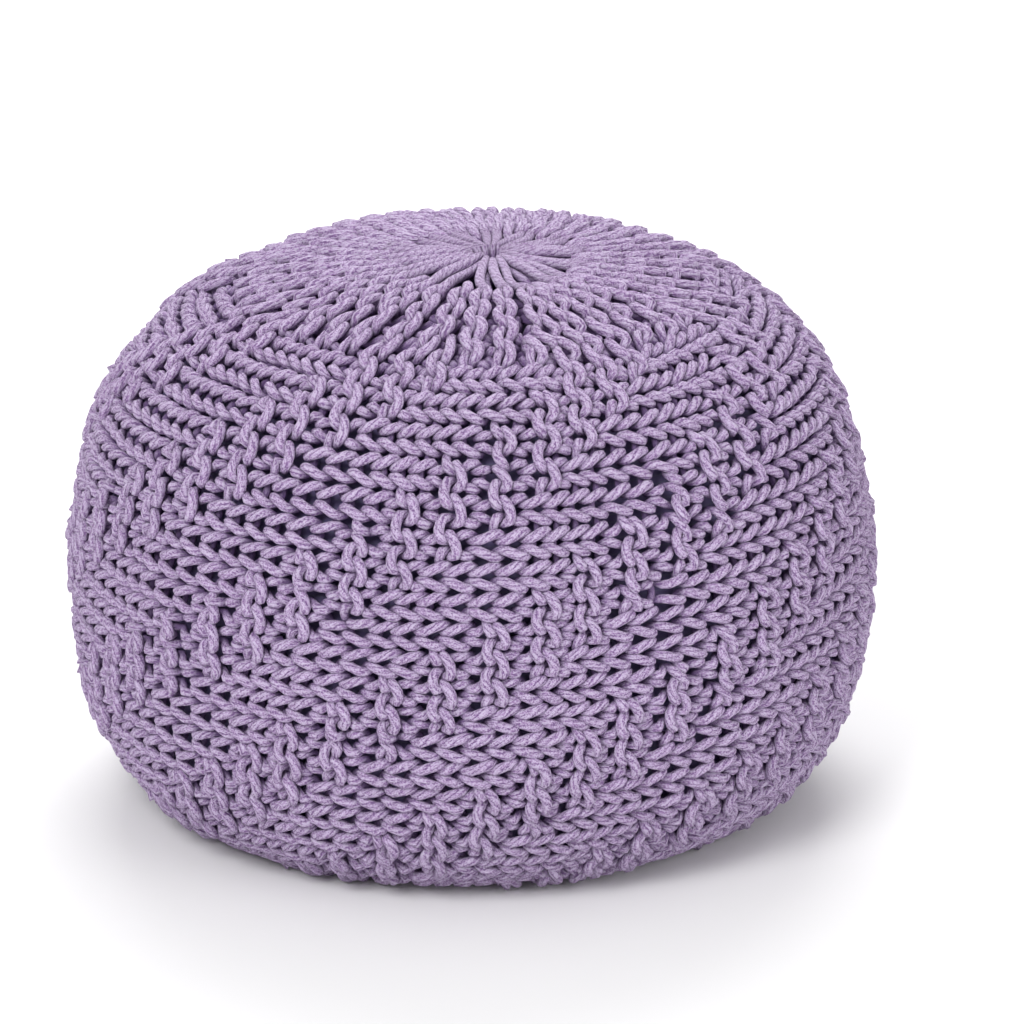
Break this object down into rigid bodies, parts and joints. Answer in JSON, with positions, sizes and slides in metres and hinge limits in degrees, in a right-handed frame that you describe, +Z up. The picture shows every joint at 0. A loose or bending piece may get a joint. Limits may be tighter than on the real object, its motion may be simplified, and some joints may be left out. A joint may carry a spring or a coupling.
{
  "type": "knitted pouf",
  "caption": "Round floor pouf in chunky lilac cotton knit, with garter ridges in climbing bands, gathered at top and bottom over a filled bag.",
  "frame": {"origin": "middle of the pouf's footprint, on the surface that it stands on", "axes": "+Z up through the top gather, -Y towards the viewer of the picture, +X to the viewer's right"},
  "size_m": [0.5015, 0.5007, 0.349],
  "materials": {
    "cotton_knit": "soft matt cotton cord, lilac, knitted",
    "bag_cloth": "plain woven cotton, dark indigo"
  },
  "bodies": {
    "root": {"knit_cover": "cotton_knit", "inner_bag": "bag_cloth"}
  },
  "joints": []
}
